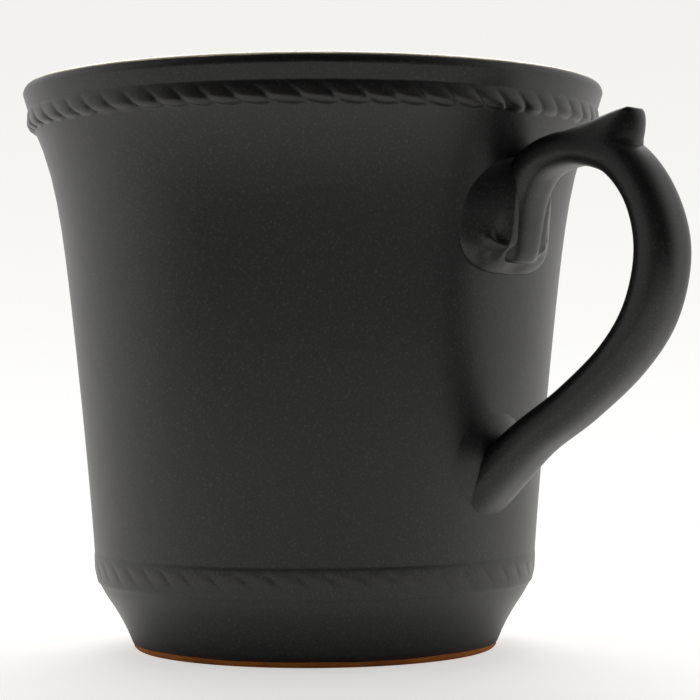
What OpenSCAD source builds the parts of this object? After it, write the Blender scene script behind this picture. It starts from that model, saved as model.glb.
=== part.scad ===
// Ceramic mug: a bell-shaped stoneware cup with a rope moulding under the lip and another at the
// shoulder, and a scroll handle with a thumb rest, all under two coats of glaze.
// The cup stands on z = 0 with its axis on Z, and its handle points along +X. Millimetres.

/* [Cup] */
// Height of the lip above the table
mug_h = 102; // [92:1:118]
// Outside radius of the rim, at its widest
rim_r = 52.8; // [48:0.1:63]
// How far inside that radius the wall meets the lower edge of the rim moulding
rim_overhang = 1.9; // [1.2:0.1:3]
// Outside radius of the wall at the shoulder
shoulder_r = 40; // [33:0.5:44]
// Share of the wall's spread that flares out like a bell near the rim, the rest being a straight lean
flare_share = 0.36; // [0:0.01:0.6]
// Thickness of the finished wall, with both coats of glaze
wall_t = 4.6; // [3.6:0.1:6]
// Height of the rounded top of the lip
lip_rise = 1.1; // [0.8:0.1:2.5]

/* [Foot and floor] */
// How far inside the shoulder's radius the foot meets the table
foot_inset = 7.1; // [4:0.1:10]
// Width of the ring that the mug stands on
foot_w = 4.2; // [3:0.1:6]
// Depth of the hollow under the base
foot_recess = 2.4; // [1.5:0.1:4]
// Height of the hollowed slope between the foot and the shoulder
shoulder_z = 12.4; // [10:0.1:16]
// Height of the bare clay left at the bottom of the foot
bare_h = 1.1; // [0.6:0.1:3]
// Thickness of the clay floor
floor_t = 5.2; // [4:0.1:8]
// Radius of the inside corner between floor and wall
corner_r = 9; // [5:0.5:12]

/* [Mouldings] */
// Height of the rim moulding, from its lower edge to the lip
rim_band_h = 7.8; // [5:0.1:12]
// How far the lower edge of the rim moulding stands out from the wall
rim_band_step = 1.2; // [0.8:0.1:2]
// Height of the shoulder moulding
foot_band_h = 2.8; // [2:0.1:6]
// How far the shoulder moulding stands out from the wall
foot_band_step = 0.3; // [0.2:0.05:1]

/* [Handle] */
// How far below the lip the handle's centre line has its highest point
handle_drop = 14.6; // [12:0.1:25]
// Height at which the middle of the lower end meets the wall, as a share of the mug's height
handle_low_share = 0.3235; // [0.25:0.0005:0.4]
// How far the handle's centre line stands out from the wall
handle_reach = 31; // [26:0.5:38]
// Extra thickness of the strap over its drawn section
strap_extra_t = 0; // [-0.6:0.1:1.5]
// Extra width of the strap over its drawn section
strap_extra_w = 0; // [-2:0.1:4]
// Height of the thumb rest above the strap
thumb_h = 5.3; // [2:0.1:7]

/* [Coats] */
// Thickness of each coat of glaze
glaze_t = 0.35; // [0.2:0.05:0.6]
// Thickness of the slip that joins the handle to the cup
slip_t = 0.5; // [0.4:0.05:1]
// How far the inner coat laps over the lip and down the outside
liner_lap = 0.5; // [0.3:0.1:3]

/* [Hidden] */

$fn = 120;
clay = "sienna";
slip = "peru";
black_glaze = [0.17, 0.17, 0.18];
cream_glaze = [0.97, 0.92, 0.78];

// ---- The cup's profile -------------------------------------------------------------------------
wall_steps = 20;
arc_steps = 10;
flare_power = 6;
cove_lean = 0.6;
foot_round = 0.5;

wall_z = shoulder_z + foot_band_h;
rim_band_z = mug_h - rim_band_h;
lip_z = mug_h - lip_rise;
floor_z = foot_recess + glaze_t + floor_t;
foot_r = shoulder_r - foot_inset;
wall_spread = rim_r - rim_overhang - shoulder_r;

// Share of the way up the wall, from the shoulder moulding to the rim moulding.
function wall_share(z) = (z - wall_z) / (rim_band_z - wall_z);

// Radius of the finished outside of the wall: a straight lean, and a flare that grows as a power.
function wall_r(z) =
    let (u = max(wall_share(z), 0))
    shoulder_r + wall_spread * ((1 - flare_share) * u + flare_share * pow(u, flare_power));

// Radius of the hollowed slope under the shoulder, which steepens towards the foot.
function cove_r(z) =
    let (v = z / shoulder_z)
    foot_r + (shoulder_r - foot_r) * (cove_lean * v + (1 - cove_lean) * v * v);

inner_lip_r = wall_r(lip_z) - wall_t;
lip_half = (rim_r - inner_lip_r) / 2;
lip_mid_r = inner_lip_r + lip_half;

// The outside of the cup from the foot to the lip, sunk below the finished glaze by d.
function outside(d) = [
    for (i = [0 : arc_steps / 2])
        let (a = 180 * i / arc_steps)
        [foot_r - d - foot_round * (1 - sin(a)), foot_round * (1 - cos(a))],
    for (i = [1 : arc_steps])
        let (z = foot_round + (shoulder_z - foot_round) * i / arc_steps)
        [cove_r(z) - d, z],
    for (i = [1 : arc_steps])
        let (a = 180 * i / arc_steps, z = shoulder_z + foot_band_h * i / arc_steps)
        [shoulder_r - d + foot_band_step * sin(a), z],
    for (i = [1 : wall_steps])
        let (z = wall_z + (rim_band_z - wall_z) * i / wall_steps)
        [wall_r(z) - d, z],
    for (i = [0 : arc_steps / 2])
        let (a = 180 * i / arc_steps, z = rim_band_z + d + rim_edge_h * sin(a))
        [rim_edge_r - rim_band_step * cos(a) - d, z],
    for (i = [0 : arc_steps])
        let (a = 90 * i / arc_steps)
        [lip_mid_r + (lip_half - d) * cos(a), lip_z + (lip_rise - d) * sin(a)]
];
rim_edge_r = wall_r(rim_band_z) + rim_band_step;
rim_edge_h = 1.2;

// The inside of the cup from the lip down to the middle of the floor, sunk below the glaze by d.
function inside(d) = [
    for (i = [1 : arc_steps])
        let (a = 90 + 90 * i / arc_steps)
        [lip_mid_r + (lip_half - d) * cos(a), lip_z + (lip_rise - d) * sin(a)],
    for (i = [1 : wall_steps])
        let (z = lip_z + (corner_z - lip_z) * i / wall_steps)
        [wall_r(z) - wall_t + d, z],
    for (i = [1 : arc_steps])
        let (a = 90 * i / arc_steps)
        [corner_mid_r + (corner_r + d) * cos(a), corner_z - (corner_r + d) * sin(a)],
    [0, corner_z - corner_r - d]
];
corner_z = floor_z + glaze_t + corner_r;
corner_mid_r = wall_r(corner_z) - wall_t - corner_r;

recess_r = foot_r - foot_w;
recess_slope = 0.8;

module finished_section() {
    polygon(concat([[0, 0]], outside(0), inside(0)));
}

module clay_section() {
    polygon(concat([[0, 0]], outside(glaze_t), inside(glaze_t)));
}

// The coat of glaze all over the cup, before it is shared out and the foot is wiped.
module coat_section() {
    difference() {
        finished_section();
        clay_section();
    }
}

// The hollow under the base, up to a given roof.
module recess_section(roof) {
    polygon([
        [0, -roof],
        [recess_r + recess_slope, -roof],
        [recess_r - recess_slope, roof],
        [0, roof]
    ]);
}

// The region outside the clay wall that the rim moulding fills.
module rim_band_zone() {
    translate([wall_r(rim_band_z) - glaze_t, rim_band_z])
        square([rim_r, mug_h]);
}

// The region outside the clay wall that the shoulder moulding fills.
module shoulder_band_zone() {
    translate([shoulder_r - glaze_t, shoulder_z])
        square([rim_r, foot_band_h]);
}

// The region that the outer coat covers: from the bare foot up to the edge of the inner coat,
// and in as far as the middle of the wall and of the lip.
lap_z = mug_h - liner_lap;
function middle_r(z) =
    z < shoulder_z ? cove_r(z) - wall_t / 2
    : z < lip_z ? wall_r(z) - wall_t / 2
    : lip_mid_r;

module outer_zone() {
    left = [
        for (i = [0 : wall_steps])
            let (z = bare_h + (lap_z - bare_h) * i / wall_steps)
            [middle_r(z), z]
    ];
    polygon(concat(left, [[rim_r + wall_t, lap_z], [rim_r + wall_t, bare_h]]));
}

// ---- The cup -----------------------------------------------------------------------------------
module cup_body() {
    color(clay)
        rotate_extrude()
            difference() {
                clay_section();
                recess_section(foot_recess + glaze_t);
                rim_band_zone();
                shoulder_band_zone();
            }
}

module rim_moulding() {
    color(clay)
        rotate_extrude()
            intersection() {
                clay_section();
                rim_band_zone();
            }
}

module shoulder_moulding() {
    color(clay)
        rotate_extrude()
            intersection() {
                clay_section();
                shoulder_band_zone();
            }
}

// ---- The coats on the cup ----------------------------------------------------------------------
module body_glaze() {
    color(black_glaze)
        difference() {
            rotate(180)
                rotate_extrude()
                    intersection() {
                        coat_section();
                        outer_zone();
                    }
            strap(0, upper_end);
            strap(lower_end, stations - 1);
        }
}

module liner_glaze() {
    color(cream_glaze)
        rotate_extrude()
            difference() {
                coat_section();
                outer_zone();
                square([2 * rim_r, floor_z / 2]);
            }
}

module base_glaze() {
    color(black_glaze)
        rotate_extrude()
            translate([0, foot_recess])
                square([recess_r - recess_slope, glaze_t]);
}

// ---- The handle --------------------------------------------------------------------------------
handle_top_z = mug_h - handle_drop;
handle_low_z = handle_low_share * mug_h;

// The strap's line and section, from the tip of the tongue on the wall, over the top and down to
// the lower joint. Each row is a place on the line, as a share of the reach out from the wall and
// a share of the height, and there the strap's half thickness and half width.
strap_rows = [
    [-0.05, 0.625, 0.8, 3.5],
    [0, 0.69, 2.9, 8.5],
    [0.005, 0.78, 3.3, 10.8],
    [0, 0.87, 3.3, 10],
    [0.045, 0.956, 3.1, 6.5],
    [0.167, 0.99, 2.9, 5.4],
    [0.38, 0.997, 2.9, 5.4],
    [0.66, 0.956, 3.6, 5.4],
    [0.87, 0.838, 3.8, 5.4],
    [0.98, 0.678, 4.3, 5.4],
    [0.95, 0.50, 4.3, 5.4],
    [0.795, 0.353, 4, 5.4],
    [0.53, 0.216, 3.8, 5.4],
    [0.27, 0.114, 3.8, 5.6],
    [0.066, 0.01, 4.2, 6],
    [-0.14, -0.11, 4.4, 6.4]
];
strap_steps = 4;
strap_sides = 20;
rows = len(strap_rows);
stations = (rows - 1) * strap_steps + 1;
upper_end = 6 * strap_steps;
lower_end = (rows - 4) * strap_steps;

// A smooth curve through all the rows: a Catmull-Rom spline, where t counts rows.
function row_at(i) = strap_rows[min(max(i, 0), rows - 1)];
function spline(t) =
    let (
        i = min(max(floor(t), 0), rows - 2),
        f = t - i,
        a = row_at(i - 1),
        b = row_at(i),
        c = row_at(i + 1),
        d = row_at(i + 2)
    )
    b + (c - a) * f / 2 + (2 * a - 5 * b + 4 * c - d) * f * f / 2
    + (3 * b - a - 3 * c + d) * f * f * f / 2;

// The centre line in the plane of the handle, as [distance from the axis, height].
function strap_mid(t) =
    let (q = spline(t), z = handle_low_z + q[1] * (handle_top_z - handle_low_z))
    [wall_r(z) + q[0] * handle_reach, z];

// The unit direction that points out of the loop, across the strap's thickness.
function strap_out(t) =
    let (e = 0.01, d = strap_mid(t + e) - strap_mid(t - e))
    [-d[1], d[0]] / norm(d);

// The thumb rest's height over the strap: a long rise to a peak, a short drop behind it, and
// across the strap a ridge that dies away to both sides.
thumb_from = 6;
thumb_peak = 7;
thumb_to = 7 + 1 / strap_steps;
thumb_spread = 4;
function thumb_along(t) =
    t <= thumb_from || t >= thumb_to ? 0
    : t < thumb_peak ? pow((t - thumb_from) / (thumb_peak - thumb_from), 1.5)
    : (thumb_to - t) / (thumb_to - thumb_peak);
function thumb_across(a) =
    let (edge = 360 * thumb_spread / strap_sides)
    abs(a) < edge ? cos(90 * a / edge) : 0;

// A point on the strap at angle a round its section, which is an oval grown by g, and lifted by
// the thumb rest where lift is 1.
function strap_point(t, a, g, lift) =
    let (
        q = spline(t),
        m = strap_mid(t),
        n = strap_out(t),
        ht = q[2] + strap_extra_t / 2 + g,
        hw = q[3] + strap_extra_w / 2 + g
    )
    [
        m[0] + n[0] * ht * cos(a),
        hw * sin(a),
        m[1] + n[1] * ht * cos(a) + lift * thumb_h * thumb_along(t) * thumb_across(a)
    ];

function side_angle(j) = 360 * (j > strap_sides / 2 ? j - strap_sides : j) / strap_sides;
function strap_grid(g, lift) = [
    for (i = [0 : stations - 1], j = [0 : strap_sides - 1])
        strap_point(i / strap_steps, side_angle(j), g, lift)
];
function at(i, j) = i * strap_sides + (j + strap_sides) % strap_sides;

// Two triangles for each cell of a grid, seen from outside.
function cell(i, j) = [
    [at(i, j), at(i + 1, j + 1), at(i + 1, j)],
    [at(i, j), at(i, j + 1), at(i + 1, j + 1)]
];
function skin(first, last) = [
    for (i = [first : last - 1], j = [0 : strap_sides - 1])
        each cell(i, j)
];
function turned(faces) = [for (f = faces) [f[2], f[1], f[0]]];
function shifted(faces, by) = [for (f = faces) [f[0] + by, f[1] + by, f[2] + by]];

// The strap's clay from one station to another, closed at both ends.
module strap(first, last) {
    first_end = [for (j = [strap_sides - 1 : -1 : 0]) at(first, j)];
    last_end = [for (j = [0 : strap_sides - 1]) at(last, j)];
    polyhedron(points = strap_grid(0, 0), faces = concat(skin(first, last), [first_end, last_end]));
}

// A coat of glaze round the strap and the thumb rest, open at both ends.
module strap_coat() {
    count = stations * strap_sides;
    last = stations - 1;
    ends = [
        for (j = [0 : strap_sides - 1])
            each [
                [at(0, j), at(0, j + 1) + count, at(0, j + 1)],
                [at(0, j), at(0, j) + count, at(0, j + 1) + count],
                [at(last, j + 1), at(last, j + 1) + count, at(last, j)],
                [at(last, j), at(last, j + 1) + count, at(last, j) + count]
            ]
    ];
    polyhedron(
        points = concat(strap_grid(glaze_t, 1), strap_grid(0, 1)),
        faces = concat(skin(0, last), turned(shifted(skin(0, last), count)), ends)
    );
}

// The side of the finished wall between the mouldings, moved outwards by d.
function wall_side(d) = [
    for (i = [0 : wall_steps])
        let (z = wall_z + (rim_band_z - wall_z) * i / wall_steps)
        [wall_r(z) + d, z]
];

// The wall as a solid core, with its seam away from the handle.
module wall_core(d) {
    rotate(180)
        rotate_extrude()
            polygon(concat([[0, wall_z]], wall_side(d), [[0, rim_band_z]]));
}

// The layer over the clay wall that the slip fills.
module slip_ring() {
    inner = wall_side(-glaze_t);
    rotate(180)
        rotate_extrude()
            polygon(concat(wall_side(slip_t - glaze_t), [for (i = [wall_steps : -1 : 0]) inner[i]]));
}

module handle_strap() {
    color(clay)
        difference() {
            strap(0, stations - 1);
            wall_core(slip_t - glaze_t);
        }
}

// The thumb rest lies on the strap's own surface, so its underside has the strap's triangles.
module thumb_rest() {
    first = round(thumb_from * strap_steps);
    last = round(thumb_to * strap_steps);
    count = stations * strap_sides;
    function raised(k) =
        let (i = floor(k / strap_sides), a = abs(side_angle(k % strap_sides)))
        i > first && i < last && a < side_angle(thumb_spread) ? k + count : k;
    patch = [
        for (i = [first : last - 1], j = [-thumb_spread : thumb_spread - 1], f = cell(i, j))
            if (max(raised(f[0]), raised(f[1]), raised(f[2])) >= count) f
    ];
    top = [for (f = patch) [raised(f[0]), raised(f[1]), raised(f[2])]];
    color(clay)
        polyhedron(
            points = concat(strap_grid(0, 0), strap_grid(0, 1)),
            faces = concat(top, turned(patch))
        );
}

module upper_slip() {
    color(slip)
        intersection() {
            strap(0, upper_end);
            slip_ring();
        }
}

module lower_slip() {
    color(slip)
        intersection() {
            strap(lower_end, stations - 1);
            slip_ring();
        }
}

module handle_glaze() {
    color(black_glaze)
        difference() {
            strap_coat();
            wall_core(0);
        }
}

cup_body();
rim_moulding();
shoulder_moulding();
handle_strap();
thumb_rest();
upper_slip();
lower_slip();
body_glaze();
handle_glaze();
liner_glaze();
base_glaze();
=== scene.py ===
# %% [markdown]
# # A roped stoneware mug
# A black mug is mostly reflection, so everything that shows is a surface turning towards or away
# from the light: the bell of the wall, the lobes of the two ropes, the ridge of the handle. Each
# clay part and each coat of glaze is a surface worked out from a formula.

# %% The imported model
import math

import bmesh
import bpy
import numpy as np
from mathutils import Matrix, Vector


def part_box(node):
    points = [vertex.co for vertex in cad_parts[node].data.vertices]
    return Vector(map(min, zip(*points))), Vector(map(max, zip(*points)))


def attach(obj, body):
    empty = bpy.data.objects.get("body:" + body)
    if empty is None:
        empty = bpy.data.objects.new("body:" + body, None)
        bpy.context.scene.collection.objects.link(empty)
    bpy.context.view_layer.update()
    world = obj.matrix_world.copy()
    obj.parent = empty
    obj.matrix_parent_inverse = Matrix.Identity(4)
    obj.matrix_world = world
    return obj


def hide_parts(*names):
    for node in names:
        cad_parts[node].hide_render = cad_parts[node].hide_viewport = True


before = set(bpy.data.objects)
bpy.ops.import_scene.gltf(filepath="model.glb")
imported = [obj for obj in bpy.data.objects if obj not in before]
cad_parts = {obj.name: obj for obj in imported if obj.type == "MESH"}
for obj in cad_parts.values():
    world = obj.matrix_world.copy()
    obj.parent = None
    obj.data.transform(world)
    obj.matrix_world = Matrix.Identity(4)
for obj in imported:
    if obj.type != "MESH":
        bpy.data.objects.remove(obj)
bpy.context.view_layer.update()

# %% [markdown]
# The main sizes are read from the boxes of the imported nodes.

MM = 0.001

mug_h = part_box("liner_glaze")[1][2]
glaze_t = mug_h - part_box("cup_body")[1][2]
rim_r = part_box("body_glaze")[1][1]
rim_band_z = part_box("rim_moulding")[0][2] - glaze_t
shoulder_z, wall_z = (float(corner[2]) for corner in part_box("shoulder_moulding"))
SHOULDER_BAND = 0.3 * MM
shoulder_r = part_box("shoulder_moulding")[1][1] + glaze_t - SHOULDER_BAND
bare_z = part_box("body_glaze")[0][2]
recess_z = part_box("base_glaze")[0][2]
recess_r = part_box("base_glaze")[1][1]
floor_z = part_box("liner_glaze")[0][2]
print("mug height %.1f mm, rim radius %.1f mm, glaze %.2f mm" % (mug_h / MM, rim_r / MM, glaze_t / MM))
print("shoulder radius %.1f mm, rim band from %.1f mm" % (shoulder_r / MM, rim_band_z / MM))

# %% [markdown]
# ## The camera
# A long lens from about 42 cm away, level with the middle of the mug, so the lip is seen from a
# little below and the cup hardly tapers with distance. Angles are in degrees, turned to radians.

# %% The camera
LENS = 117.89  # mm
SENSOR_WIDTH = 36.0  # mm
CAMERA_AZIMUTH = math.radians(42.0)
CAMERA_DISTANCE = 420.8 * MM
CAMERA_HEIGHT = 51.94 * MM
AIM_RIGHT = math.radians(0.890)
AIM_UP = math.radians(0.281)
ROLL = math.radians(0.233)

camera_data = bpy.data.cameras.new("camera")
camera_data.lens = LENS
camera_data.sensor_width = SENSOR_WIDTH
camera_data.clip_start = 10 * MM
camera = bpy.data.objects.new("camera", camera_data)
bpy.context.scene.collection.objects.link(camera)
camera.location = (
    CAMERA_DISTANCE * math.sin(CAMERA_AZIMUTH),
    -CAMERA_DISTANCE * math.cos(CAMERA_AZIMUTH),
    CAMERA_HEIGHT,
)
camera.rotation_mode = "XYZ"
camera.rotation_euler = (math.pi / 2 + AIM_UP, ROLL, CAMERA_AZIMUTH - AIM_RIGHT)
bpy.context.scene.camera = camera


# %% [markdown]
# ## Helpers for surfaces
# A surface here is a grid of points, rows by columns, made into quads. The columns always go once
# round and close. Wrapping the rows too makes a closed shell, such as a coat of glaze with an
# outside, an inside and two edges. A piece can be several such grids.

# %% Grids of points made into a mesh
def quads_of(grid, wrap_rows, turn, first):
    """Each cell of the grid is one quad joining point (i, j) to (i+1, j), (i+1, j+1) and (i, j+1)."""
    rows, cols = grid.shape[:2]
    index = first + np.arange(rows * cols).reshape(rows, cols)
    if wrap_rows:
        index = np.vstack([index, index[:1]])
    index = np.hstack([index, index[:, :1]])
    quads = np.stack([index[:-1, :-1], index[1:, :-1], index[1:, 1:], index[:-1, 1:]], axis=-1)
    quads = quads.reshape(-1, 4)
    return quads[:, ::-1] if turn else quads


def surface(name, *grids, wrap_rows=False, turn=False, merge=True):
    """One piece from one or more grids. turn makes the quads face the other way."""
    quads = []
    first = 0
    for grid in grids:
        quads.append(quads_of(grid, wrap_rows, turn, first))
        first += grid.shape[0] * grid.shape[1]
    quads = np.concatenate(quads)
    points = np.concatenate([grid.reshape(-1, 3) for grid in grids])
    mesh = bpy.data.meshes.new(name)
    mesh.vertices.add(len(points))
    mesh.vertices.foreach_set("co", points.reshape(-1).astype(np.float32))
    mesh.loops.add(quads.size)
    mesh.loops.foreach_set("vertex_index", quads.reshape(-1).astype(np.int32))
    mesh.polygons.add(len(quads))
    mesh.polygons.foreach_set("loop_start", np.arange(0, quads.size, 4, dtype=np.int32))
    mesh.update(calc_edges=True)
    if merge:
        weld(mesh)
    mesh.shade_smooth()
    piece = bpy.data.objects.new(name, mesh)
    bpy.context.scene.collection.objects.link(piece)
    return piece


def weld(mesh, distance=1e-7):
    """Points closer than the distance become one, which closes poles and drops empty faces."""
    work = bmesh.new()
    work.from_mesh(mesh)
    bmesh.ops.remove_doubles(work, verts=work.verts, dist=distance)
    work.to_mesh(mesh)
    work.free()


# %% [markdown]
# Shapes on a cup are easiest as a distance from the axis, a height and an angle. Materials need to
# know where a crest or an edge is, so a piece can carry one number per point under a name.

# %% Small tools for shapes and pieces
def around(radius, height, angle):
    """Points at a distance from the cup's axis and a height, turned round the axis by the angle."""
    shape = np.broadcast_shapes(np.shape(radius), np.shape(height), np.shape(angle))
    radius, height, angle = (np.broadcast_to(a, shape) for a in (radius, height, angle))
    return np.stack([radius * np.cos(angle), radius * np.sin(angle), height], axis=-1)


def smooth(x, low, high):
    """A step from 0 to 1 that starts and ends level: three u squared less two u cubed."""
    u = np.clip((x - low) / (high - low), 0.0, 1.0)
    return u * u * (3.0 - 2.0 * u)


def bump(x, middle, width):
    """A hill of height 1 at the middle: e to the minus square of the distance over the width."""
    return np.exp(-(((x - middle) / width) ** 2))


def mark(piece, name, values):
    """Stores one number per point under a name, so that a material can read it."""
    layer = piece.data.attributes.new(name, "FLOAT", "POINT")
    layer.data.foreach_set("value", np.asarray(values, dtype=np.float32).reshape(-1))


def finish_piece(piece, material, slot, *nodes):
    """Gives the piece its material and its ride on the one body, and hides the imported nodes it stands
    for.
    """
    piece.data.materials.append(material)
    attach(piece, "root")
    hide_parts(*nodes)
    mesh = piece.data
    print("%-16s %6d points, %6d faces" % (piece.name, len(mesh.vertices), len(mesh.polygons)))


# %% [markdown]
# ## The profile of the cup
# The wall leans out in a straight line and flares like a bell near the rim, which a high power of
# the height gives. The slope under the shoulder is a hollow curve, and the lip is half an oval.

# %% The wall, the foot and the lip as formulas
WALL_LEAN = 7.76 * MM
WALL_FLARE = 3.14 * MM
LEAN_POWER = 1.18
FLARE_POWER = 10
WALL_T = 4.6 * MM
LIP_RISE = 1.8 * MM
LIP_T = 3.5 * MM
FOOT_R = 32.9 * MM
COVE_LEAN = 0.6

lip_z = mug_h - LIP_RISE


def wall_r(z):
    """Radius of the finished wall: the lean times nearly the share of the height, plus the flare
    times its tenth power."""
    u = np.maximum((np.asarray(z, float) - wall_z) / (rim_band_z - wall_z), 0.0)
    return shoulder_r + WALL_LEAN * u**LEAN_POWER + WALL_FLARE * u**FLARE_POWER


def cove_r(z):
    """Radius of the slope under the shoulder: part linear, part square of the share of its height."""
    v = np.asarray(z, float) / shoulder_z
    return FOOT_R + (shoulder_r - FOOT_R) * (COVE_LEAN * v + (1 - COVE_LEAN) * v * v)


inner_lip_r = rim_r - LIP_T
lip_half = (rim_r - inner_lip_r) / 2
lip_mid_r = inner_lip_r + lip_half
print("lip %.1f mm thick" % (2 * lip_half / MM))


# %% [markdown]
# ## The ropes
# Each rope is a row of slanting lobes pressed into a band of clay: round in section, with a crease
# between one and the next. The lobes of the rim's rope bulge at the band's lower edge and die away
# into the smooth band above. Pressed by hand, no two are quite alike, so slow waves shift them.

# %% Lobes of a rope
RIM_LOBES = 64
SHOULDER_LOBES = 50


def lobe(angle, z, count, slant, shift):
    """Height of the lobes from 0 in a crease to 1 on a crest, as half a circle over each pitch.

    The phase is the angle times the number of lobes, moved on as the height grows, so a
    crest slants. Two slow waves round the cup make the pitches uneven.
    """
    uneven = 0.10 * np.sin(5 * angle + shift) + 0.06 * np.sin(11 * angle + 2 * shift)
    phase = count * angle / (2 * np.pi) + slant * z + uneven
    across = 2.0 * (phase - np.floor(phase)) - 1.0
    return np.sqrt(np.clip(1.0 - across**2, 0.0, 1.0))


# %% [markdown]
# The rim's band is a strip of clay rolled on round the lip and smoothed by a finger, which leaves a
# narrow neck. Its lower edge was left thick and pressed into lobes, so the edge is scalloped.

# %% The rim band and its rope
RIM_NECK_Z = 3.0 * MM
RIM_NECK_R = 51.85 * MM
BEAD_OUT = 0.3 * MM
BEAD_BELOW_NECK = 1.6 * MM
BEAD_HALF = 1.75 * MM
EDGE_HEIGHT = 1.5 * MM
SCALLOP_FROM = 0.25 * MM
SCALLOP_DEPTH = 0.8 * MM
RIM_SHIFT = 0.4
RIM_SLANT = 0.22 / MM
RIM_CREASE = 0.32 * MM
CREASE_FADES_FROM = 1.2 * MM
CREASE_FADES_TO = 3.6 * MM


def band_r(z):
    """Radius of the smooth rim band: an even taper from a narrow neck out to the lip, and under the
    neck a low bead that is half an oval."""
    neck_z = rim_band_z + RIM_NECK_Z
    taper = (rim_r - RIM_NECK_R) * np.clip((z - neck_z) / (lip_z - neck_z), 0.0, 1.0)
    up = (z - neck_z + BEAD_BELOW_NECK) / BEAD_HALF
    return RIM_NECK_R + taper + BEAD_OUT * np.sqrt(np.clip(1.0 - up**2, 0.0, 1.0))


def rim_relief(angle, z):
    """Radius of the rim band with its rope, and how far each point is up on a crest.

    The band stands out from the wall past a scalloped lower edge, as a quarter oval whose
    starting height falls from crease to crest. The creases cut into the bead and fade out
    upwards.
    """
    crest = lobe(angle, z, RIM_LOBES, RIM_SLANT, RIM_SHIFT)
    edge_z = rim_band_z + SCALLOP_FROM - SCALLOP_DEPTH * crest
    up = np.clip((z - edge_z) / EDGE_HEIGHT, 0.0, 1.0)
    step = np.sqrt(np.clip(1.0 - (1.0 - up) ** 2, 0.0, 1.0))
    fade = 1.0 - smooth(z, rim_band_z + CREASE_FADES_FROM, rim_band_z + CREASE_FADES_TO)
    band = band_r(z) - RIM_CREASE * (1.0 - crest) * fade
    wall = wall_r(np.minimum(z, rim_band_z))
    return wall + np.maximum(band - wall, 0.0) * step, crest * fade * step


# %% [markdown]
# The shoulder's rope is lower and softer, as the glaze has half filled it. A thin coil of clay was
# laid on the corner where the wall meets the slope, rolled flat and pressed into lobes.

# %% The shoulder and its rope
SHOULDER_SLANT = 0.2 / MM
SHOULDER_SHIFT = 2.1
SHOULDER_CREASE = 0.17 * MM
SHOULDER_SWELL = 0.16 * MM
SWELL_HALF = 2.6 * MM
CORNER_CUT = 0.42 * MM
CORNER_WIDTH = 1.7 * MM
ROPE_LOW = shoulder_z + 1.2 * MM
ROPE_HIGH = wall_z + 1.8 * MM


def shoulder_relief(angle, z):
    """Radius of the shoulder with its rope: a low round swelling over the rope's height, cut by the
    creases, over a corner between the wall and the slope that is rounded off."""
    crest = lobe(angle, z, SHOULDER_LOBES, SHOULDER_SLANT, SHOULDER_SHIFT)
    strength = smooth(z, ROPE_LOW - 1.0 * MM, ROPE_LOW + 1.2 * MM)
    strength = strength * (1.0 - smooth(z, ROPE_HIGH - 1.4 * MM, ROPE_HIGH))
    middle = (ROPE_LOW + ROPE_HIGH) / 2 - 0.5 * MM
    swell = SHOULDER_SWELL * np.sqrt(np.clip(1.0 - ((z - middle) / SWELL_HALF) ** 2, 0.0, 1.0))
    corner = CORNER_CUT * bump(z, shoulder_z, CORNER_WIDTH)
    base = np.where(z < shoulder_z, cove_r(z), np.where(z < wall_z, shoulder_r, wall_r(z)))
    return base - corner + swell - SHOULDER_CREASE * (1.0 - crest) * strength, crest * strength


# %% [markdown]
# ## The rows of the outside
# The black coat's outside runs from the lip down to the ragged edge just above the bare foot. Rows
# are close together only where the ropes need them. The clay under the coat is the same surface,
# sunk by the coat's thickness.

# %% The outside of the cup as rows from the lip to the foot
COLUMNS = 768
angles = np.linspace(0.0, 2 * np.pi, COLUMNS, endpoint=False)[None, :]
LAP = 0.45 * MM
lap_angle = math.asin((LIP_RISE - LAP) / LIP_RISE)
SHOULDER_END = shoulder_z - 1.8 * MM
EDGE_WAVE = 0.16 * MM
EDGE_BEAD = 0.12 * MM


def ragged(angle, depth, shift):
    """A slow uneven line round the cup: three waves of falling height, for where a coat ends."""
    return depth * (
        0.5 * np.sin(3 * angle + shift)
        + 0.3 * np.sin(8 * angle + 2.3 * shift)
        + 0.2 * np.sin(19 * angle + 4.1 * shift)
    )


def rim_rows(sink):
    """Radius, height and crest marks of the lip's outer quarter and the rim band."""
    plain = np.zeros((1, COLUMNS))
    lip = np.linspace(lap_angle, 0.0, 7)[:, None] + plain
    band_z = np.concatenate(
        [
            np.linspace(lip_z - 0.3 * MM, rim_band_z + 4.0 * MM, 6),
            np.linspace(rim_band_z + 3.8 * MM, rim_band_z - 0.7 * MM, 26),
        ]
    )[:, None]
    band_out, crest = rim_relief(angles, band_z)
    radius = np.vstack([lip_mid_r + (lip_half - sink) * np.cos(lip), band_out - sink])
    height = np.vstack([lip_z + (LIP_RISE - sink) * np.sin(lip), band_z + plain])
    return radius, height, np.vstack([0 * lip, crest])


def shoulder_rows(sink):
    """Radius, height and crest marks of the shoulder and its rope."""
    rows = np.linspace(ROPE_HIGH + 0.3 * MM, SHOULDER_END, 20)[:, None]
    radius, crest = shoulder_relief(angles, rows)
    return radius - sink, rows + 0 * angles, crest


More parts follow.
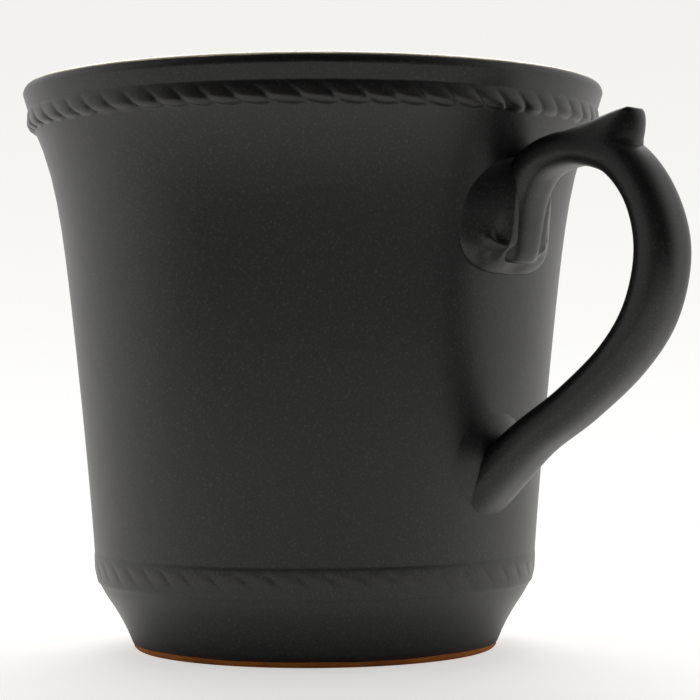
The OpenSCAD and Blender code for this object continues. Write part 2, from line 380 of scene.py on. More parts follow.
def outside_rows(sink):
    """All rows of the outside, from the lip to the foot, sunk below the finished surface. At its
    lower edge the coat swells into a small bead, a hill of the height over that edge."""
    plain = np.zeros((1, COLUMNS))
    rim = rim_rows(sink)
    shoulder = shoulder_rows(sink)
    near_rim = rim_band_z - np.array([0.85, 1.05, 1.4, 2.2]) * MM
    near_shoulder = ROPE_HIGH + np.array([1.5, 0.8, 0.5]) * MM
    wall_rows = np.linspace(rim_band_z - 4.0 * MM, ROPE_HIGH + 3.0 * MM, 16)
    wall_rows = np.concatenate([near_rim, wall_rows, near_shoulder])[:, None]
    edge = bare_z + ragged(angles, EDGE_WAVE, 1.0)
    share = np.linspace(0.0, 1.0, 10)[1:, None]
    foot_rows = SHOULDER_END + (edge - SHOULDER_END) * share
    bead = EDGE_BEAD * bump(foot_rows, edge + 0.5 * MM, 0.5 * MM)
    bead = bead * smooth(foot_rows, edge, edge + 0.3 * MM)
    radius = [rim[0], wall_r(wall_rows) - sink + plain, shoulder[0], cove_r(foot_rows) + bead - sink]
    height = [rim[1], wall_rows + plain, shoulder[1], foot_rows]
    crests = [rim[2], 0 * wall_rows + plain, shoulder[2], 0 * foot_rows]
    return np.vstack(radius), np.vstack(height), np.vstack(crests)


# %% [markdown]
# ## Finishes
# All finishes are worked out in the object's own coordinates, in metres, so a scale of 1000 means
# features about a millimetre across. First come short helpers that lay out shader nodes.

# %% Helpers for shader nodes
def new_material(name):
    """A material with its node tree and its main shader."""
    material = bpy.data.materials.new(name)
    material.use_nodes = True
    return material, material.node_tree, material.node_tree.nodes["Principled BSDF"]


def node(tree, kind, **settings):
    """A new shader node of a kind, with its settings."""
    made = tree.nodes.new("ShaderNode" + kind)
    for key, value in settings.items():
        setattr(made, key, value)
    return made


def feed(tree, value, socket):
    """Puts a number, a colour or another node's output into a socket."""
    if isinstance(value, bpy.types.NodeSocket):
        tree.links.new(value, socket)
    else:
        socket.default_value = value


def noise(tree, scale, detail=3.0, roughness=0.5):
    """A soft random pattern on the object's own coordinates, about 0.5 on average."""
    place = node(tree, "TexCoord")
    made = node(tree, "TexNoise")
    tree.links.new(place.outputs["Object"], made.inputs["Vector"])
    for name, value in (("Scale", scale), ("Detail", detail), ("Roughness", roughness)):
        made.inputs[name].default_value = value
    return made.outputs["Fac"]


def span(tree, value, low, high, at_low, at_high):
    """A value between low and high, spread smoothly over the numbers at_low to at_high."""
    made = node(tree, "MapRange", interpolation_type="SMOOTHSTEP")
    feed(tree, value, made.inputs["Value"])
    for name, number in zip(("From Min", "From Max", "To Min", "To Max"), (low, high, at_low, at_high)):
        made.inputs[name].default_value = number
    return made.outputs["Result"]


def maths(tree, operation, a, b=0.0):
    """The sum, product or difference of two values."""
    made = node(tree, "Math", operation=operation)
    feed(tree, a, made.inputs[0])
    feed(tree, b, made.inputs[1])
    return made.outputs[0]


def blend(tree, share, first, second):
    """One colour where share is 0 and another where it is 1."""
    made = node(tree, "Mix", data_type="RGBA")
    feed(tree, share, made.inputs[0])
    feed(tree, first, made.inputs[6])
    feed(tree, second, made.inputs[7])
    return made.outputs[2]


def stored(tree, name):
    """The number that a piece carries at each point under a name."""
    return node(tree, "Attribute", attribute_name=name).outputs["Fac"]


def raise_by(tree, shader, height, distance, strength=1.0, below=None):
    """Bump: the surface is shaded as if raised by the height times the distance."""
    made = node(tree, "Bump")
    feed(tree, height, made.inputs["Height"])
    made.inputs["Distance"].default_value = distance
    made.inputs["Strength"].default_value = strength
    if below is not None:
        tree.links.new(below, made.inputs["Normal"])
    tree.links.new(made.outputs["Normal"], shader.inputs["Normal"])
    return made.outputs["Normal"]


# %% [markdown]
# The black glaze is satin matt: a glassy coat full of crystals too small to see, which spread each
# reflection. Here and there one is large enough to show as a pale speck. Where the coat runs thin,
# on the crests of the ropes, it breaks to a slightly lighter and browner black.

# %% The black satin glaze
BLACK_COLD = (0.0044, 0.0044, 0.0048, 1)
BLACK_WARM = (0.0060, 0.0059, 0.0060, 1)
SPECK = (0.032, 0.032, 0.031, 1)
BROKEN = (0.016, 0.013, 0.011, 1)


def black_glaze(name, marked):
    """Two near blacks in soft clouds, with specks. If marked, crests break lighter and smoother."""
    material, tree, shader = new_material(name)
    cloud = noise(tree, 45.0, 4.0)
    specks = noise(tree, 2600.0, 2.0, 0.6)
    base = blend(tree, span(tree, cloud, 0.35, 0.65, 0.0, 1.0), BLACK_COLD, BLACK_WARM)
    base = blend(tree, span(tree, specks, 0.52, 0.72, 0.0, 0.8), base, SPECK)
    cloud_rough = span(tree, cloud, 0.3, 0.7, 0.365, 0.395)
    rough = maths(tree, "ADD", cloud_rough, span(tree, specks, 0.4, 0.8, 0.0, 0.04))
    if marked:
        crest = stored(tree, "crest")
        base = blend(tree, span(tree, crest, 0.72, 1.0, 0.0, 0.5), base, BROKEN)
        rough = maths(tree, "SUBTRACT", rough, span(tree, crest, 0.6, 1.0, 0.0, 0.04))
    tree.links.new(base, shader.inputs["Base Color"])
    tree.links.new(rough, shader.inputs["Roughness"])
    skin = raise_by(tree, shader, noise(tree, 260.0, 2.0), 0.00006, 0.35)
    raise_by(tree, shader, specks, 0.00003, 0.5, skin)
    return material


black = black_glaze("black_glaze", marked=False)
black_roped = black_glaze("black_glaze_roped", marked=True)


# %% [markdown]
# The cream glaze is glossy and pools thicker in the middle. At its edge over the lip it runs thin,
# and the body under it warms its colour.

# %% The cream glaze
CREAM_THICK = (0.90, 0.82, 0.60, 1)
CREAM_DEEP = (0.84, 0.75, 0.50, 1)
CREAM_FLECK = (0.62, 0.47, 0.24, 1)
CREAM_THIN = (0.66, 0.55, 0.30, 1)


def cream_glaze(name):
    """Two creams in soft clouds, with fine brown flecks, and browner where the coat is thin."""
    material, tree, shader = new_material(name)
    cloud = noise(tree, 60.0, 4.0)
    fine = noise(tree, 1400.0, 2.0)
    base = blend(tree, span(tree, cloud, 0.35, 0.65, 0.0, 1.0), CREAM_THICK, CREAM_DEEP)
    base = blend(tree, span(tree, fine, 0.62, 0.75, 0.0, 0.35), base, CREAM_FLECK)
    base = blend(tree, span(tree, stored(tree, "thin"), 0.2, 1.0, 0.0, 0.6), base, CREAM_THIN)
    tree.links.new(base, shader.inputs["Base Color"])
    tree.links.new(span(tree, cloud, 0.3, 0.7, 0.13, 0.2), shader.inputs["Roughness"])
    raise_by(tree, shader, noise(tree, 220.0, 2.0), 0.00008, 0.4)
    return material


cream = cream_glaze("cream_glaze")


# %% [markdown]
# The bare clay is a red-brown stoneware body: sandy, dry, and toasted darker in patches by the
# flame. The slip is the same clay sieved fine, so it is smoother and a little greyer.

# %% Clay and slip
CLAY_LIGHT = (0.60, 0.19, 0.022, 1)
CLAY_TOASTED = (0.40, 0.115, 0.013, 1)
SLIP_LIGHT = (0.45, 0.23, 0.11, 1)
SLIP_TOASTED = (0.36, 0.18, 0.09, 1)


def fired_clay(name, light, dark, grain, depth):
    """Light and toasted patches with darker grains of sand, which stand up by the depth."""
    material, tree, shader = new_material(name)
    patches = noise(tree, 120.0, 5.0)
    sand = noise(tree, grain, 3.0, 0.7)
    base = blend(tree, span(tree, patches, 0.35, 0.65, 0.0, 1.0), light, dark)
    grain_colour = tuple(0.4 * c for c in dark[:3]) + (1,)
    base = blend(tree, span(tree, sand, 0.58, 0.72, 0.0, 0.6), base, grain_colour)
    tree.links.new(base, shader.inputs["Base Color"])
    tree.links.new(span(tree, sand, 0.3, 0.7, 0.75, 0.95), shader.inputs["Roughness"])
    raise_by(tree, shader, sand, depth, 0.8)
    return material


clay = fired_clay("bare_clay", CLAY_LIGHT, CLAY_TOASTED, 2600.0, 0.0001)
slip = fired_clay("fired_slip", SLIP_LIGHT, SLIP_TOASTED, 5200.0, 0.00004)

# %% [markdown]
# ## The outer coat of glaze
# One closed shell: the outside rows, and a coarser set of inside rows running back up on the clay.
# The crest marks tell the glaze where to break.

# %% The black coat on the cup
COAT_DEPTH = 0.9 * glaze_t
radius, height, crests = outside_rows(0.0)
inner_r, inner_h, _ = outside_rows(COAT_DEPTH)
keep = np.unique(np.r_[0, 3, 6, 12:39:3, 39:62:2, 62:82:4, 82:91:3, len(inner_r) - 1])
shell = np.concatenate([around(radius, height, angles), around(inner_r, inner_h, angles)[keep][::-1]])
outer_coat = surface("outer_coat", shell, wrap_rows=True, merge=False)
mark(outer_coat, "crest", np.concatenate([crests, np.zeros((len(keep), COLUMNS))]))
finish_piece(outer_coat, black_roped, "black_glaze", "body_glaze")


# %% [markdown]
# ## The clay under the outer coat
# The two mouldings are rings of clay luted to the wall. Their outsides are the same ropes sunk by
# the coat, and their insides are the wall they sit on.

# %% The two clay mouldings
RING_SEAT = 0.6 * MM


def ring(name, rows, inner_radius, node_name):
    """A closed ring: the given outside rows, and two more points at the inner radius."""
    radius, height, _ = rows
    plain = np.zeros((1, COLUMNS))
    radius = np.vstack([radius, inner_radius + plain, inner_radius + plain])
    height = np.vstack([height, height[-1:], height[:1]])
    piece = surface(name, around(radius, height, angles), wrap_rows=True, merge=False)
    finish_piece(piece, clay, "clay", node_name)


rim_seat_r = float(wall_r(rim_band_z)) - glaze_t - RING_SEAT
shoulder_seat_r = float(cove_r(SHOULDER_END)) - glaze_t - RING_SEAT
ring("rim_rope", rim_rows(glaze_t), rim_seat_r, "rim_moulding")
ring("shoulder_rope", shoulder_rows(glaze_t), shoulder_seat_r, "shoulder_moulding")


# %% [markdown]
# ## The clay cup and the inner coat
# The inside follows the outside at an even wall, with a round corner at the floor.

# %% The inside as rows from the lip to the middle of the floor
CORNER_R = 9.0 * MM
ROUND_COLUMNS = 240
few_angles = np.linspace(0.0, 2 * np.pi, ROUND_COLUMNS, endpoint=False)[None, :]


def inside_profile(sink):
    """Radius and height down the inside: a quarter of the lip's oval, the wall, the corner's
    quarter circle and the floor."""
    corner_z = floor_z + glaze_t + CORNER_R
    corner_mid = float(wall_r(corner_z)) - WALL_T - CORNER_R
    lip = np.linspace(np.pi / 2, np.pi, 14)
    wall_zs = np.linspace(lip_z, corner_z, 40)[1:]
    corner = np.linspace(0.0, np.pi / 2, 16)[1:]
    radius = [
        lip_mid_r + (lip_half - sink) * np.cos(lip),
        np.minimum(wall_r(wall_zs) - WALL_T, inner_lip_r) + sink,
        corner_mid + (CORNER_R + sink) * np.cos(corner),
        np.linspace(corner_mid, 0.0, 10)[1:],
    ]
    height = [
        lip_z + (LIP_RISE - sink) * np.sin(lip),
        wall_zs,
        corner_z - (CORNER_R + sink) * np.sin(corner),
        np.full(9, corner_z - CORNER_R - sink),
    ]
    return np.concatenate(radius), np.concatenate(height)


# %% [markdown]
# The cream coat laps over the lip and ends in a jagged edge on the black, where it was wiped back.
# It stands a hair proud of the black coat so that the edge shows.

# %% The cream coat inside and over the lip
LAP_COLUMNS = 576
lap_angles = np.linspace(0.0, 2 * np.pi, LAP_COLUMNS, endpoint=False)[None, :]
PROUD = 0.03 * MM


def whole_inside(sink):
    """The oval lip from the ragged end of the cream coat up to its top, then down the inside."""
    jag = 0.03 * np.sin(41 * lap_angles) * np.sin(7 * lap_angles)
    end = lap_angle - 0.06 + ragged(lap_angles, 0.07, 3.0) + jag
    share = np.linspace(0.0, 1.0, 8)[:-1, None]
    turn = end + (np.pi / 2 - end) * share
    in_r, in_h = inside_profile(sink)
    radius = np.vstack([lip_mid_r + (lip_half - sink) * np.cos(turn), in_r[:, None] + 0 * lap_angles])
    height = np.vstack([lip_z + (LIP_RISE - sink) * np.sin(turn), in_h[:, None] + 0 * lap_angles])
    return around(radius, height, lap_angles)


liner_top = whole_inside(-PROUD)
liner_under = whole_inside(COAT_DEPTH)
liner_shell = np.concatenate([liner_top, liner_under[::-1]])
liner_coat = surface("liner_coat", liner_shell, wrap_rows=True, turn=True, merge=False)
thin = np.zeros((2 * len(liner_top), LAP_COLUMNS))
thin[:4] = np.array([1.0, 0.7, 0.35, 0.1])[:, None]
mark(liner_coat, "thin", thin)
weld(liner_coat.data)
finish_piece(liner_coat, cream, "cream_glaze", "liner_glaze")

# %% [markdown]
# The clay itself shows only at the bare foot ring, so it is one closed shape under the coats.

# %% The clay cup
FOOT_ROUND = 0.5 * MM
RING_INNER_R = recess_r + 1.2 * MM
TOP_IN = 1.2 * MM
in_r, in_h = inside_profile(glaze_t)
side_z = np.linspace(lip_z, shoulder_z, 34)[:-1]
side_r = wall_r(np.minimum(side_z, rim_band_z)) - glaze_t - SHOULDER_CREASE
foot_z = np.linspace(SHOULDER_END, FOOT_ROUND, 14)
turn = np.linspace(0.0, np.pi / 2, 6)[1:]
clay_r = [
    [inner_lip_r + TOP_IN],
    side_r,
    cove_r(foot_z) - glaze_t * smooth(foot_z, bare_z - 0.35 * MM, bare_z + 0.2 * MM),
    FOOT_R - FOOT_ROUND * (1 - np.cos(turn)),
    [RING_INNER_R, recess_r, 0.0],
]
clay_h = [
    [mug_h - glaze_t],
    side_z,
    foot_z,
    FOOT_ROUND * (1 - np.sin(turn)),
    [0.0, recess_z + glaze_t, recess_z + glaze_t],
]
clay_r = np.concatenate(clay_r)[:, None]
clay_h = np.concatenate(clay_h)[:, None]
inner_clay = around(in_r[:, None], in_h[:, None], few_angles)
clay_cup = surface("clay_cup", np.concatenate([inner_clay[::-1], around(clay_r, clay_h, few_angles)]))
finish_piece(clay_cup, clay, "clay", "cup_body")

# %% [markdown]
# The hollow under the base was glazed too, and the foot ring was wiped clean so that it would not
# stick to the kiln shelf. The coat is a plain flat disc.

# %% The coat under the base
base_r = np.array([0.0, recess_r, recess_r, 0.0])[:, None]
base_h = np.array([recess_z, recess_z, recess_z + glaze_t, recess_z + glaze_t])[:, None]
base_coat = surface("base_coat", around(base_r, base_h, few_angles), turn=True)
finish_piece(base_coat, black, "black_glaze", "base_glaze")


# %% [markdown]
# ## The handle
# The strap was pulled or cast with a boxy oval section. It starts as a blunt tongue on the wall,
# turns over in a tight hook, sweeps down in a ring and runs into the wall again low down. Rows give
# its line and section, and a smooth curve runs through them.

# %% The line of the strap
HANDLE_TOP_Z = 87.4 * MM
HANDLE_LOW_Z = 33.0 * MM
HANDLE_REACH = 31.3 * MM
STRAP_ROWS = np.array(
    [
        # share of the reach, share of the height, half thickness, half width
        [0.020, 0.655, 2.6, 3.6],
        [0.025, 0.690, 3.2, 4.4],
        [0.030, 0.750, 3.3, 4.8],
        [0.034, 0.820, 3.3, 5.0],
        [0.055, 0.890, 3.3, 5.0],
        [0.120, 0.955, 3.2, 5.0],
        [0.245, 0.990, 3.1, 5.0],
        [0.420, 0.996, 3.0, 5.0],
        [0.661, 0.956, 3.39, 5.0],
        [0.870, 0.838, 3.54, 5.0],
        [0.981, 0.678, 3.98, 5.0],
        [0.949, 0.500, 3.99, 5.0],
        [0.794, 0.353, 3.70, 5.0],
        [0.527, 0.215, 3.56, 5.0],
        [0.271, 0.113, 3.54, 5.1],
        [0.067, 0.009, 3.87, 5.7],
        [-0.14, -0.11, 4.04, 6.0],
    ]
)
BOXY = 2.6
TIP = 0.55


def boxy(x, power):
    """A sine or cosine to the power 2/power with its sign kept, which squares an oval's corners."""
    return np.sign(x) * np.abs(x) ** (2 / power)


def spline(rows, t):
    """A Catmull-Rom curve: each span blends four rows by cubes of the place in the span."""
    last = len(rows) - 1
    i = np.clip(np.floor(t).astype(int), 0, last - 1)
    f = (t - i)[:, None]
    a, b, c, d = (rows[np.clip(i + k, 0, last)] for k in (-1, 0, 1, 2))
    squares = (2 * a - 5 * b + 4 * c - d) * f**2 / 2
    cubes = (3 * b - a - 3 * c + d) * f**3 / 2
    return b + (c - a) * f / 2 + squares + cubes


def strap_line(t):
    """Distance from the axis and height of the strap's middle."""
    q = spline(STRAP_ROWS, t)
    z = HANDLE_LOW_Z + q[:, 1] * (HANDLE_TOP_Z - HANDLE_LOW_Z)
    return np.stack([wall_r(z) + q[:, 0] * HANDLE_REACH, z], axis=-1)


# %% [markdown]
# The thumb rest is a beak drawn up out of the strap's top: it rises slowly, ends in a rounded tip
# that leans out over the strap, and its back edge is a V because the sides give way sooner.

# %% The thumb rest and the surface of the strap
SPUR_FROM = 6.65
SPUR_PEAK = 7.84
SPUR_END = 8.12
SPUR_H = 5.2 * MM
SPUR_LEAN = (0.45, 0.87)  # outwards and upwards, as shares of the lift
SIDES_AHEAD = 0.36
RISE_POWER = 1.4
DROP_POWER = 0.8


def spur(t, a):
    """Lift at a place along the strap and an angle round it: a power rise, then a steep round drop,
    full along the middle and gone at the sides. The sides run ahead of the middle."""
    v = np.abs(np.sin(np.clip(a, -np.pi / 2, np.pi / 2))) ** (2 / BOXY)
    ahead = t + SIDES_AHEAD * v**2
    rise = np.clip((ahead - SPUR_FROM) / (SPUR_PEAK - SPUR_FROM), 0.0, 1.0) ** RISE_POWER
    past = np.clip((ahead - SPUR_PEAK) / (SPUR_END - SPUR_PEAK), 0.0, 1.0)
    drop = np.clip(1.0 - past**2, 0.0, 1.0) ** DROP_POWER
    return SPUR_H * rise * drop * (1.0 - smooth(v, 0.4, 1.0))


def strap_surface(t, a, grow, lifted=1.0):
    """The middle, plus the outward way times the half thickness times the boxy cosine of the angle,
    plus the sideways way times the half width times its boxy sine, plus the lift of the spur.
    The section shrinks to a point over the tongue's round tip."""
    q = spline(STRAP_ROWS, t)
    m = strap_line(t)
    d = strap_line(t + 0.01) - strap_line(t - 0.01)
    d /= np.linalg.norm(d, axis=1)[:, None]
    n = np.stack([-d[:, 1], d[:, 0]], axis=-1)
    tip = np.clip(1.0 - np.clip(1.0 - t / TIP, 0.0, 1.0) ** BOXY, 0.0, 1.0) ** (1 / BOXY)
    ht = ((q[:, 2] * MM + grow) * tip)[:, None]
    hw = ((q[:, 3] * MM + grow) * tip)[:, None]
    cosine = boxy(np.cos(a), BOXY)
    sine = boxy(np.sin(a), BOXY)
    lift = lifted * spur(t[:, None], a)
    x = m[:, 0, None] + n[:, 0, None] * ht * cosine + SPUR_LEAN[0] * lift
    z = m[:, 1, None] + n[:, 1, None] * ht * cosine + SPUR_LEAN[1] * lift
    return np.stack([x, hw * sine + 0 * x, z], axis=-1)


# %% [markdown]
# ## The two pads
# Where the strap meets the wall, the clay was spread and smoothed. At the top it is a leaf as wide
# as two fingers, swollen like a scroll, with a small ridge curling in on each side of the tongue.
# At the bottom it is a plain collar. Each pad is a height over the wall, over an oval outline.

# %% A pad on the wall
PAD_TUCK = 0.2 * MM


def pad_surface(middle_z, half_w, up, down, up_power, down_power, height, sink, tuck):
    """Points of a pad: rings from the middle to the edge of an oval, laid on the round wall.

    The oval is sideways half_w times the boxy sine and upwards up or down times the boxy
    cosine. Each ring is that oval times a share. The last ring is tucked into the wall.
    """
    turn = np.linspace(0.0, 2 * np.pi, 144, endpoint=False)[None, :]
    share = np.sin(np.linspace(0.0, np.pi / 2, 44))[:, None]
    power = np.where(np.cos(turn) > 0, up_power, down_power)
    side = half_w * boxy(np.sin(turn), power)
    rise = np.where(np.cos(turn) > 0, up, down) * boxy(np.cos(turn), power)
    s = side * share
    z = middle_z + rise * share
    h = height(s, z, share) - sink + 0 * s
    back = np.array([1.0, 0.5, 0.0])[:, None]
    s = np.vstack([s, side * back])
    z = np.vstack([z, middle_z + rise * back])
    h = np.vstack([h, 0 * (side * back) - tuck])
    return around(wall_r(z) + h, z, s / wall_r(z))


# %% [markdown]
# The leaf was dabbed on with wet fingers: a soft dome, built up against the tongue, with a ridge
# pushed up on each side. Each feature is a hill or a dent added to the dome, so each can be changed
# by itself. These sizes are in millimetres.

# %% The shape of the leaf and of the collar
LEAF_DOME = 2.0
FILLET_HEIGHT = 1.8
FILLET_FROM = 4.8
FILLET_WIDTH = 1.7
RIDGE_SIDE = 8.7
RIDGE_LEVEL = 73.2
RIDGE_IN = 5.2
RIDGE_DOWN = 3.6
RIDGE_LENGTH_SQUARED = 40.0
RIDGE_HEIGHT = 0.7
RIDGE_WIDTH = 0.7
HOLLOW_DEPTH = 0.4
NOTCH_DEPTH = 1.5
NOTCH_WIDTH = 2.2
COLLAR_DOME = 2.8


def leaf_ridge(side, level):
    """A hill over the distance to a short line that runs inwards and down, gone at both its ends."""
    along = (RIDGE_SIDE - side) * RIDGE_IN + (RIDGE_LEVEL - level) * RIDGE_DOWN
    along = np.clip(along / RIDGE_LENGTH_SQUARED, 0.0, 1.0)
    away = np.hypot(side - RIDGE_SIDE + RIDGE_IN * along, level - RIDGE_LEVEL + RIDGE_DOWN * along)
    return RIDGE_HEIGHT * bump(away, 0.0, RIDGE_WIDTH) * np.sin(np.pi * np.clip(along, 0.06, 0.94))


def leaf_hollow(side, level, middle, widths):
    """A dent round a middle point, with its own width sideways and upwards."""
    out = np.hypot((side - middle[0]) / widths[0], (level - middle[1]) / widths[1])
    return HOLLOW_DEPTH * bump(out, 0.0, 1.0)


def leaf_height(s, z, share):
    """A dome with a soft edge above and a steep one below, a fillet falling away from the tongue's
    sides, a small ridge with a hollow below and above it on each side, and a notch under the tongue."""
    side = np.abs(s) / MM
    level = z / MM
    edge = 0.55 + 0.75 * smooth(level, 69.0, 77.0)
    dome = LEAF_DOME * (1.0 - share**4) ** edge
    fillet = FILLET_HEIGHT * np.exp(-np.clip(side - FILLET_FROM, 0.0, None) / FILLET_WIDTH)
    fillet = fillet * smooth(level, 68.0, 72.0)
    below = leaf_hollow(side, level, (6.4, 69.6), (2.2, 0.9))
    above = leaf_hollow(side, level, (6.3, 73.2), (1.0, 2.2))
    notch = NOTCH_DEPTH * bump(side, 0.0, NOTCH_WIDTH) * (1.0 - smooth(level, 66.5, 69.5))
    detail = fillet + leaf_ridge(side, level) - below - above - notch
    return MM * (dome + detail * (1.0 - share**6))


def collar_height(s, z, share):
    """A low dome with a soft edge, which swells towards the strap."""
    return MM * COLLAR_DOME * (1.0 - share**2) ** 1.1


# %% [markdown]
# An outline is four lengths: the height of its middle above the table, half its width, and how far
# it reaches above and below the middle. The clay under the coat has the same outline, drawn in.

# %% The outlines of the two pads
LEAF_OUTLINE = (76 * MM, 12.6 * MM, 10.5 * MM, 9.4 * MM)
COLLAR_OUTLINE = (35.2 * MM, 9.4 * MM, 7.8 * MM, 8.9 * MM)


def both_pads(sink):
    """The leaf and the collar. Sunk for the clay, they are lower and narrower by the coat."""
    middle, *sizes = LEAF_OUTLINE
    sizes = [size - sink for size in sizes]
    leaf = pad_surface(middle, *sizes, 2.2, 3.0, leaf_height, sink, PAD_TUCK)
    middle, *sizes = COLLAR_OUTLINE
    sizes = [size - sink for size in sizes]
    collar = pad_surface(middle, *sizes, 2.1, 2.1, collar_height, sink, PAD_TUCK)
    return leaf, collar


# %% [markdown]
# The coat on the handle and the clay inside it are the same surfaces, one sunk into the other.

# %% The handle's coat and clay
strap_a = np.linspace(-np.pi, np.pi, 96, endpoint=False)[None, :]
tip_t = TIP * (1.0 - np.cos(np.linspace(0.0, np.pi / 2, 12)))
hook_t = np.linspace(TIP, 6.1, 80)
spur_t = np.linspace(6.13, 8.3, 110)
ring_t = np.linspace(8.35, len(STRAP_ROWS) - 1, 110)
strap_t = np.concatenate([tip_t[:-1], hook_t, spur_t, ring_t])
print("strap: %d rows of %d points" % (len(strap_t), strap_a.size))

outer = strap_surface(strap_t, strap_a, 0.0)
under = strap_surface(strap_t[::2], strap_a, -COAT_DEPTH)
leaf, collar = (pad[:, ::-1] for pad in both_pads(0.0))
handle_coat = surface("handle_coat", np.concatenate([outer, under[::-1]]), leaf, collar)
finish_piece(handle_coat, black, "black_glaze", "handle_glaze")

clay_outer = strap_surface(strap_t[::2], strap_a, -glaze_t, lifted=0.0)
clay_end = clay_outer[-1:].mean(axis=1, keepdims=True) + 0 * clay_outer[-1:]
leaf, collar = (pad[:, ::-1] for pad in both_pads(glaze_t))
strap_clay = surface("strap_clay", np.concatenate([clay_outer, clay_end]), leaf, collar)
finish_piece(strap_clay, clay, "clay", "handle_strap")

# %% [markdown]
# The thumb rest's clay lies on the strap: its top is the lifted surface and its underside the same
# surface without the lift, so it closes along its own edge.

# %% The thumb rest's clay
REST_SIDE = math.radians(80)
over_a = np.linspace(-REST_SIDE, REST_SIDE, 40)[None, :]
rest_t = np.linspace(SPUR_FROM - 0.5, SPUR_END, 60)
rest_top = strap_surface(rest_t, over_a, -glaze_t)
rest_under = strap_surface(rest_t, over_a, -glaze_t, lifted=0.0)
thumb_clay = surface("thumb_clay", np.concatenate([rest_top, rest_under[:, ::-1]], axis=1))
finish_piece(thumb_clay, clay, "clay", "thumb_rest")


# %% [markdown]
# The slip is a thin smear between each pad and the wall, a little smaller than the pad.

# %% The slip under the two pads
SMEAR_T = 0.1 * MM
SMEAR_TUCK = 0.3 * MM
UPPER_OUTLINE = (76 * MM, 10.5 * MM, 9.0 * MM, 7.4 * MM)
LOWER_OUTLINE = (35.4 * MM, 7.2 * MM, 5.4 * MM, 7.4 * MM)


def smear(s, z, share):
    """An even thin layer that ends in a round edge: the root of one less the sixth power of share."""
    return SMEAR_T * (1.0 - share**6) ** 0.5


upper_smear = pad_surface(*UPPER_OUTLINE, 2.2, 3.0, smear, 0.0, SMEAR_TUCK)
lower_smear = pad_surface(*LOWER_OUTLINE, 2.2, 2.2, smear, 0.0, SMEAR_TUCK)
finish_piece(surface("upper_smear", upper_smear[:, ::-1]), slip, "slip", "upper_slip")
finish_piece(surface("lower_smear", lower_smear[:, ::-1]), slip, "slip", "lower_slip")

# %% [markdown]
# ## The studio
# The floor is a wide sheet of white paper that also glows a little, as paper lit from below does, so
# the shadow of the mug stays soft and pale. Its far edge fades out, so that no horizon shows.

# %% The floor
FLOOR_R = 0.45
FADE_FROM = 0.18
PAPER_LIGHT = 0.54
SHADE_LIGHT = 0.03
SHADE_FROM = 0.033
SHADE_TO = 0.047
floor_radii = np.array([0.0, 0.1, FADE_FROM, 0.3, FLOOR_R])[:, None]
floor_angles = np.linspace(0.0, 2 * np.pi, 96, endpoint=False)[None, :]
floor = surface("floor", around(floor_radii, 0.0, floor_angles))
white, white_tree, white_shader = new_material("paper")
white_shader.inputs["Base Color"].default_value = (0.9, 0.895, 0.88, 1)
white_shader.inputs["Roughness"].default_value = 0.9
white_shader.inputs["Specular IOR Level"].default_value = 0.0
white_shader.inputs["Emission Color"].default_value = (1.0, 0.992, 0.97, 1)
length = node(white_tree, "VectorMath", operation="LENGTH")
white_tree.links.new(node(white_tree, "TexCoord").outputs["Object"], length.inputs[0])
fade = span(white_tree, length.outputs["Value"], FADE_FROM, FLOOR_R, 1.0, 0.0)
white_tree.links.new(fade, white_shader.inputs["Alpha"])
# Close to the foot the paper's glow is turned down for all rays but camera rays, a painted shadow of
# the mug, so it lights the mug less there.
shade = span(white_tree, length.outputs["Value"], SHADE_FROM, SHADE_TO, SHADE_LIGHT, PAPER_LIGHT)
glow = node(white_tree, "Mix", data_type="FLOAT")
white_tree.links.new(node(white_tree, "LightPath").outputs["Is Camera Ray"], glow.inputs[0])
white_tree.links.new(shade, glow.inputs[2])
glow.inputs[3].default_value = PAPER_LIGHT
white_tree.links.new(glow.outputs[0], white_shader.inputs["Emission Strength"])
floor.data.materials.append(white)

# %% [markdown]
# The light is a bright studio all round the back and sides and a dim one in front and above, with one
# large soft box high behind the mug. A black glaze shows nothing but this, so the directions matter
# more than the strengths. The view behind the mug is a plain pale wall.

# %% The light
world = bpy.data.worlds.new("studio")
bpy.context.scene.world = world
world.use_nodes = True
sky = world.node_tree
sky.nodes.clear()

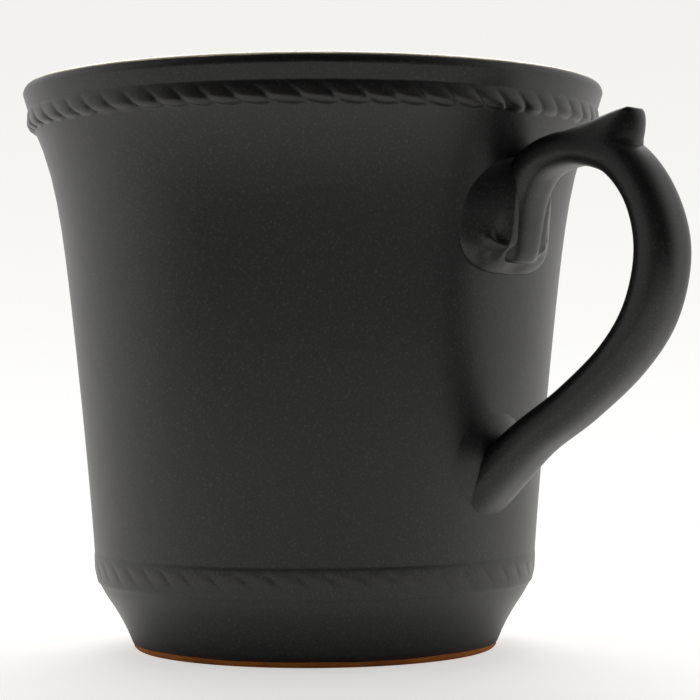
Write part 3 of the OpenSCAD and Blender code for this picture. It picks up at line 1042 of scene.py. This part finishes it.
FRONT_LIGHT = 0.05
TOP_LIGHT = 0.15
BOX_LIGHT = 2.5
BOX_HEIGHT = math.radians(42)
back_x = -math.sin(CAMERA_AZIMUTH)
back_y = math.cos(CAMERA_AZIMUTH)
direction = node(sky, "TexCoord").outputs["Generated"]


def towards(way):
    """How nearly a ray points a given way: 1 along it, 0 across it."""
    made = node(sky, "VectorMath", operation="DOT_PRODUCT")
    sky.links.new(direction, made.inputs[0])
    made.inputs[1].default_value = way
    return made.outputs["Value"]


upward = towards((0.0, 0.0, 1.0))
level = span(sky, towards((back_x, back_y, 0.0)), -0.7, 0.15, FRONT_LIGHT, 1.0)
top = span(sky, upward, 0.35, 0.95, 1.0, TOP_LIGHT)
box_way = (back_x * math.cos(BOX_HEIGHT), back_y * math.cos(BOX_HEIGHT), math.sin(BOX_HEIGHT))
box = span(sky, towards(box_way), 0.85, 0.97, 0.0, BOX_LIGHT)
strength = maths(sky, "ADD", maths(sky, "MULTIPLY", level, top), box)
light = node(sky, "Background")
light.inputs["Color"].default_value = (1.0, 0.99, 0.97, 1)
sky.links.new(strength, light.inputs["Strength"])

seen = node(sky, "Background")
tone = node(sky, "ValToRGB")
tone.color_ramp.elements[0].position = 0.0
tone.color_ramp.elements[0].color = (1.02, 1.02, 1.01, 1)
tone.color_ramp.elements[1].position = 1.0
tone.color_ramp.elements[1].color = (0.893, 0.886, 0.853, 1)
middle = tone.color_ramp.elements.new(0.27)
middle.color = (0.965, 0.957, 0.935, 1)
sky.links.new(span(sky, upward, -0.06, 0.16, 0.0, 1.0), tone.inputs["Fac"])
sky.links.new(tone.outputs["Color"], seen.inputs["Color"])
mix = node(sky, "MixShader")
sky.links.new(node(sky, "LightPath").outputs["Is Camera Ray"], mix.inputs["Fac"])
sky.links.new(light.outputs[0], mix.inputs[1])
sky.links.new(seen.outputs[0], mix.inputs[2])
sky.links.new(mix.outputs[0], node(sky, "OutputWorld").inputs["Surface"])
bpy.context.scene.view_settings.view_transform = "Standard"
